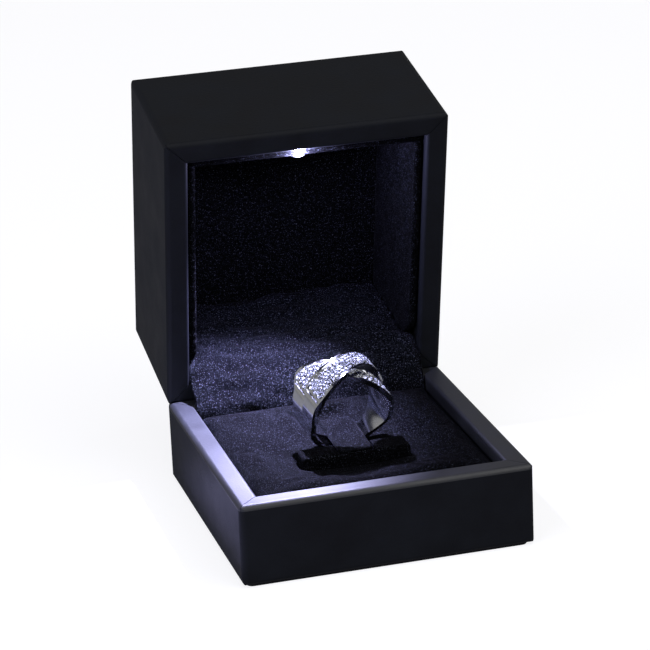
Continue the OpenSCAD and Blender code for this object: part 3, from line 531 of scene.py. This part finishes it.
print("velvet across the hinge")
hingeCloth = {   # mm and shares
    "halfWidthLid": 24.1, "halfWidthHinge": 26.3, "thick": 0.45, "columns": 104, "step": 0.55,
    # its section: given points from the tucked end up over the hinge, then flat along the lid's back wall
    "path": [(26.05, 8.6), (26.05, 15.2), (26.5, 17.3), (27.6, 19.2), (29.0, 21.1), (30.8, 23.0),
             (32.75, 24.7)],
    "floorY": 25.1, "floorStart": 23.0, "floorEnd": 47.9, "floorPoints": 8, "curveSteps": 8,
    "narrowing": (1.5, 3.5),   # how far before the wall it starts to narrow, and over what length
    "fold": 1.3, "foldsAlong": 2.6, "foldsAcross": 9.0, "slant": 30.0,
    "smallAlong": 3.2, "smallAcross": 4.5, "smallShare": 0.5, "smallSlant": 6.0,
    "tuckedEase": 10.0, "looseEase": 3.0, "looseShare": 0.35, "deepest": 0.12,
    "calm": 0.8, "busy": 0.5, "busyFrom": 8.0, "busyOver": 6.0,   # more folds on the right
    "gather": 1.3, "gatherOver": 5.0, "gatherLump": 5.5, "loose": 14.0,
    "creeps": [(-9.0, 6.5, 4.6), (4.0, 5.0, 1.2), (19.0, 4.0, 0.8)],   # each creep's middle, reach and depth
    "fray": 0.3, "frayLump": 3.1, "gatherLeast": 0.6, "gatherSwing": 0.5,
    "slices": {"fray": 5.2, "folds": 3.3, "small": 8.1, "gather": 1.7},   # where each noise is cut
    "bendStart": (0, 27.0, 18.0), "bendEnd": (0, 32.0, 24.0),
}


def clothLine():   # the sheet's section in the YZ plane, evenly spaced, from the tucked end to the lid's roof
    points = [Vector((0, y, z)) for y, z in hingeCloth["path"]]
    start, end, count = hingeCloth["floorStart"], hingeCloth["floorEnd"], hingeCloth["floorPoints"]
    points += [opened(0, hingeCloth["floorY"], start + (end - start) * i / count) for i in range(count + 1)]
    smooth, last = [], len(points) - 1
    for i in range(last):
        before, a, b, after = points[max(i - 1, 0)], points[i], points[i + 1], points[min(i + 2, last)]
        for k in range(hingeCloth["curveSteps"]):
            t = k / hingeCloth["curveSteps"]
            smooth.append(0.5 * (2 * a + (b - before) * t + (2 * before - 5 * a + 4 * b - after) * t * t
                                 + (3 * a - before - 3 * b + after) * t ** 3))
    smooth.append(points[-1])
    line, carried = [smooth[0]], 0.0
    for a, b in zip(smooth, smooth[1:]):
        carried += (b - a).length
        if carried >= hingeCloth["step"]:
            line.append(b)
            carried = 0.0
    return line


def clothShort(x):   # how far the loose end has crept back from the roof
    creep = sum(depth * math.exp(-((x - middle) / reach) ** 2)
                for middle, reach, depth in hingeCloth["creeps"])
    fray = noise.noise(Vector((x / hingeCloth["frayLump"], hingeCloth["slices"]["fray"], 0)))
    return creep + hingeCloth["fray"] * fray


def clothLift(x, run, left):   # how high the folds stand, by the way run from the tucked end and left to go
    h, slices = hingeCloth, hingeCloth["slices"]
    free = min(1.0, run / h["tuckedEase"]) * min(1.0, left / h["looseEase"] + h["looseShare"])
    rightSide = 0.5 + 0.5 * math.tanh((x - h["busyFrom"]) / h["busyOver"])
    big = Vector((x / h["foldsAcross"], run / h["foldsAlong"] + x / h["slant"], slices["folds"]))
    small = Vector((x / h["smallAcross"] + run / h["smallSlant"], run / h["smallAlong"],
                    slices["small"]))
    folds = noise.noise(big) + h["smallShare"] * noise.noise(small)
    edge = max(0.0, 1 - left / h["gatherOver"])
    swing = h["gatherSwing"] * noise.noise(Vector((x / h["gatherLump"], slices["gather"], 0)))
    gather = h["gather"] * edge * edge * (h["gatherLeast"] + swing)
    return max(h["fold"] * (h["calm"] + h["busy"] * rightSide) * folds * free + gather, -h["deepest"])


def makeHingeCloth():
    line = clothLine()
    lengths = [0.0]
    for a, b in zip(line, line[1:]):
        lengths.append(lengths[-1] + (b - a).length)
    total = lengths[-1]
    floorAt = total - (hingeCloth["floorEnd"] - hingeCloth["floorStart"])
    columns = hingeCloth["columns"]
    wide, narrow = hingeCloth["halfWidthHinge"], hingeCloth["halfWidthLid"]
    before, over = hingeCloth["narrowing"]

    def onLine(run):   # the place at this length along the sheet, and the way up from it
        k = min(max(bisect.bisect_right(lengths, run) - 1, 0), len(line) - 2)
        part = (run - lengths[k]) / (lengths[k + 1] - lengths[k])
        ahead, behind = line[min(k + 2, len(line) - 1)], line[max(k - 1, 0)]
        along = (ahead - behind).normalized()
        up = Vector((0, -along.z, along.y))
        return line[k].lerp(line[k + 1], part), up if up.y < 0 or up.z > 0 else -up

    vertices = []
    for run in lengths:
        t = eased((run - floorAt + before) / over)
        half = wide * (1 - t) + narrow * t
        pull = eased(1 - (total - run) / hingeCloth["loose"])
        for c in range(columns + 1):
            x = half * (2 * c / columns - 1)
            point, up = onLine(run - clothShort(x) * pull)
            vertices.append((Vector((x, point.y, point.z)) + up * clothLift(x, run, total - run)) * mm)
    middles = [narrow * (2 * (c + 0.5) / columns - 1) for c in range(columns)]
    lidLength = sum(total - floorAt - clothShort(x) for x in middles) / columns
    area = 2 * (wide * floorAt + narrow * lidLength)
    faces = []
    for row in range(len(line) - 1):
        for c in range(columns):
            a = row * (columns + 1) + c
            faces.append((a, a + 1, a + columns + 2, a + columns + 1))
    mesh = bpy.data.meshes.new("velvetHingeCloth")
    mesh.from_pydata(vertices, [], faces)
    # the hinge cloth takes the lighter velvet: partly a thinner cloth, partly painted light for the lamp's
    # spill
    piece = meshObject("velvetHingeCloth", mesh, greyerVelvetPaintedLit)
    thick = piece.modifiers.new("thick", "SOLIDIFY")
    thick.thickness = hingeCloth["thick"] * mm
    thick.offset = 0
    settled(piece)
    work = bmesh.new()
    work.from_mesh(piece.data)
    bmesh.ops.recalc_face_normals(work, faces=work.faces)
    work.to_mesh(piece.data)
    work.free()
    piece.data.polygons.foreach_set("use_smooth", [True] * len(piece.data.polygons))
    return piece, total, area


cloth, clothLength, clothArea = makeHingeCloth()

print("stones and beads")
ring = {   # mm and degrees
    "place": (-0.2, -0.4, 24.0905), "lean": 15, "turn": 9, "outRadius": 9.6, "shoulder": 9.8,
    "bandWidth": 6.2, "flare": 1.5, "shift": 0.5, "bend": 1.7, "upperSway": 2.4, "lowerSway": 4.4,
    "merge": 55, "mergeOver": 25, "lift": 1.8, "channel": 0.35, "channelEnd": 65, "border": 0.55,
}
pave = {   # mm and degrees, and rowPitch as a share of the stones' pitch
    "stone": 0.84, "gap": 0.14, "rowPitch": 0.9, "rows": 3, "endRoom": 5, "tilt": 5.0, "seed": 7,
    "bead": 0.13, "beadPlaces": [(0.5, 0.3), (0.0, 0.6)],   # along and across, as shares of the pitch
    "stoneRaised": 0.22, "beadRaised": 0.3, "seat": 0.03,
    "past": (0.1, 1.0),   # degrees that a piece may sit past the first and the last stone
}
cut = {   # shares of the stone's size, from the table down to the girdle: radius, height and turn
    "sides": 8, "rings": [(0.28, 0.24, 0.5), (0.40, 0.14, 0.0), (0.5, 0.0, 0.5)], "point": 0.3,
}


def stoneShape(size):   # a round stone seen from above: table, crown facets, girdle and a point below
    mesh = bpy.data.meshes.new("cutStone")
    work = bmesh.new()
    sides, loops = cut["sides"], []
    for radius, height, turn in cut["rings"]:
        angles = [(k + turn) * 2 * math.pi / sides for k in range(sides)]
        loops.append([work.verts.new((size * radius * math.cos(a), size * radius * math.sin(a),
                                      size * height)) for a in angles])
    work.faces.new(loops[0])
    for k in range(sides):
        b = (k + 1) % sides
        work.faces.new((loops[0][k], loops[1][b], loops[0][b]))
        work.faces.new((loops[0][k], loops[1][k], loops[1][b]))
        work.faces.new((loops[1][k], loops[2][k], loops[1][b]))
        work.faces.new((loops[1][b], loops[2][k], loops[2][b]))
    tip = work.verts.new((0, 0, -cut["point"] * size))
    for k in range(sides):
        work.faces.new((loops[2][(k + 1) % sides], loops[2][k], tip))
    bmesh.ops.recalc_face_normals(work, faces=work.faces)
    work.to_mesh(mesh)
    work.free()
    return mesh


def beadShape(radius):
    mesh = bpy.data.meshes.new("metalBead")
    work = bmesh.new()
    bmesh.ops.create_icosphere(work, subdivisions=1, radius=radius)
    work.to_mesh(mesh)
    work.free()
    return mesh


def bandMiddle(way, at):   # way is 1 for the upper band and -1 for the lower, at is degrees from the top
    sway = ring["upperSway"] if way > 0 else -ring["lowerSway"]
    return ring["shift"] + sway * math.sin(math.radians(ring["bend"] * at))


def bandEdge(way, at, side):
    width = ring["bandWidth"] - (ring["flare"] * math.sin(math.radians(at)) if way > 0 else 0)
    edge = bandMiddle(way, at) + side * width / 2
    end = side * ring["shoulder"] / 2 if side * way * at > 0 else 0
    return edge + (end - edge) * eased((abs(at) - ring["merge"]) / ring["mergeOver"])


def insideBand(way, at, y, room):
    return bandEdge(way, at, -1) - room < y < bandEdge(way, at, 1) + room


def paveSpots(way, forBeads):   # places along the band in rows, each with its angle from the top
    pitch = pave["stone"] + pave["gap"]
    step = math.degrees(pitch / ring["outRadius"])
    count = int((ring["channelEnd"] - pave["endRoom"]) / step)
    first, last = -count * step - pave["past"][0], count * step + pave["past"][1]
    radius = pave["bead"] if forBeads else pave["stone"] / 2
    spots = []
    for row in range(-pave["rows"] - 1, pave["rows"] + 2):
        for k in range(-count - 1, count + 2):
            at = (k + (row % 2) / 2) * step
            side = row * pave["rowPitch"] * pitch
            offsets = pave["beadPlaces"] if forBeads else [(0.0, 0.0)]
            for along, across in offsets:
                t, y = at + along * step, bandMiddle(way, at) + side + across * pitch
                spare = abs(row) > pave["rows"] and not forBeads
                if spare or not first <= t < last:
                    continue
                seated = insideBand(way, t, y, -ring["border"] - radius - pave["seat"])
                if seated and (way > 0 or not insideBand(1, t, y, radius + pave["gap"])):
                    spots.append((t, y))
    return spots


def paveTree(material):   # the given piece on every point, turned by the point's angle and spun by chance
    tree = bpy.data.node_groups.new("paveSetting", "GeometryNodeTree")
    face = tree.interface
    face.new_socket("Geometry", in_out="INPUT", socket_type="NodeSocketGeometry")
    face.new_socket("Piece", in_out="INPUT", socket_type="NodeSocketObject")
    face.new_socket("Tilt", in_out="INPUT", socket_type="NodeSocketFloat")
    face.new_socket("Spin", in_out="INPUT", socket_type="NodeSocketFloat")
    face.new_socket("Seed", in_out="INPUT", socket_type="NodeSocketInt")
    face.new_socket("Geometry", in_out="OUTPUT", socket_type="NodeSocketGeometry")
    given = addNode(tree, "NodeGroupInput").outputs
    index = addNode(tree, "GeometryNodeInputIndex")
    angle = addNode(tree, "GeometryNodeInputNamedAttribute", {"Name": "angle"}, data_type="FLOAT").outputs[0]
    turned = addNode(tree, "ShaderNodeCombineXYZ", {"Y": angle})
    piece = addNode(tree, "GeometryNodeObjectInfo", {"Object": given["Piece"]}).outputs["Geometry"]
    placed = addNode(tree, "GeometryNodeInstanceOnPoints", {"Points": given["Geometry"], "Instance": piece,
                                                           "Rotation": turned})
    amounts = {}
    limits = {"X": given["Tilt"], "Y": given["Tilt"], "Z": given["Spin"]}
    for number, (axis, limit) in enumerate(limits.items()):
        seed = addNode(tree, "ShaderNodeMath", {0: given["Seed"], 1: float(number)}, operation="ADD")
        low = addNode(tree, "ShaderNodeMath", {0: limit, 1: -1.0}, operation="MULTIPLY")
        chance = addNode(tree, "FunctionNodeRandomValue", {2: low, 3: limit, "ID": index, "Seed": seed},
                         data_type="FLOAT")
        amounts[axis] = chance.outputs[1]
    own = addNode(tree, "ShaderNodeCombineXYZ", amounts)
    spun = addNode(tree, "GeometryNodeRotateInstances", {"Instances": placed, "Rotation": own})
    real = addNode(tree, "GeometryNodeRealizeInstances", {"Geometry": spun})
    done = addNode(tree, "GeometryNodeSetMaterial", {"Geometry": real, "Material": material})
    addNode(tree, "NodeGroupOutput", {"Geometry": done})
    return tree


def setInput(modifier, name, value):
    for item in modifier.node_group.interface.items_tree:
        if item.item_type == "SOCKET" and item.in_out == "INPUT" and item.name == name:
            modifier[item.identifier] = value


def makePave(name, shape, material, raised, forBeads):
    points, angles = [], []
    for way, lift in ((1, ring["lift"]), (-1, 0.0)):
        seat = ring["outRadius"] - ring["channel"] + raised
        for at, y in paveSpots(way, forBeads):
            turn = math.radians(at)
            points.append(Vector((seat * math.sin(turn), y, seat * math.cos(turn) + lift)) * mm)
            angles.append(turn)
    mesh = bpy.data.meshes.new(name)
    mesh.from_pydata(points, [], [])
    mesh.attributes.new("angle", "FLOAT", "POINT").data.foreach_set("value", angles)
    piece = bpy.data.objects.new(name, mesh)
    source = bpy.data.objects.new(name + "Source", shape)
    for made in (piece, source):
        scene.collection.objects.link(made)
    setting = piece.modifiers.new("setting", "NODES")
    setting.node_group = paveTree(material)
    for key, value in (("Piece", source), ("Tilt", 0.0 if forBeads else math.radians(pave["tilt"])),
                       ("Spin", math.pi), ("Seed", pave["seed"])):
        setInput(setting, key, value)
    settled(piece)
    bpy.data.objects.remove(source)
    piece.data.transform(Matrix.Translation(Vector(ring["place"]) * mm)
                         @ Matrix.Rotation(math.radians(ring["turn"]), 4, "Z")
                         @ Matrix.Rotation(math.radians(ring["lean"]), 4, "X"))
    print(name, len(points))
    return piece


stones = makePave("paveStones", stoneShape(pave["stone"] * mm), zirconia, pave["stoneRaised"], False)
beads = makePave("paveBeads", beadShape(pave["bead"] * mm), rhodium, pave["beadRaised"], True)

# The hinge spring, as a plain copy of its part
print("hinge spring")
spring = meshObject("woundHingeSpring", nodes["hinge_spring"].data.copy(), nickelSteel)

# The lamp's light rides on the lid
print("lamp")
lampGlow = {   # places and sizes in mm, with the lid shut, and the target as the lid stands open
    "colour": "#c8c7ff",
    "lidLamp": {"kind": "SPOT", "watts": 3.7, "size": 1.2, "place": (-1.6, -24.8, 22.2)},
    "lidLampSpill": {"kind": "POINT", "watts": 0.12, "size": 0.3, "place": (-1.6, -25.9, 19.3)},
    "cone": 80, "target": (-18, 10, 18),
}


def makeLampLight(name):   # the spot is the lens's beam, and the spill is what leaves its side
    kind, watts, size, place = lampGlow[name].values()
    light = bpy.data.lights.new(name, kind)
    light.energy = watts
    light.color = toLinear(lampGlow["colour"])[:3]
    light.shadow_soft_size = size * mm
    turn = Matrix.Identity(4)
    if kind == "SPOT":
        light.spot_size = math.radians(lampGlow["cone"])
        light.spot_blend = 1.0
        turn = (Vector(lampGlow["target"]) - opened(*place)).to_track_quat("-Z", "Y").to_matrix().to_4x4()
    lamp = bpy.data.objects.new(name, light)
    lamp.matrix_world = Matrix.Translation(opened(*place) * mm) @ turn
    scene.collection.objects.link(lamp)
    lamp.parent = frame["bodies"]["lid"]


makeLampLight("lidLamp")
makeLampLight("lidLampSpill")

# What each piece rides on, and the plain piece that it replaces
for node, piece in softPieces.items():
    body = "base" if node == "velvet_pad" else boards[node][4]
    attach(piece, body)
    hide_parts(node)
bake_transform(cloth)
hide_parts("hinge_cloth")
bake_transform(spring)
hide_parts("hinge_spring")
for piece, slot in ((stones, "ring_stone"), (beads, "ring_metal")):
    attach(piece, "ring")
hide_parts("ring_stones")
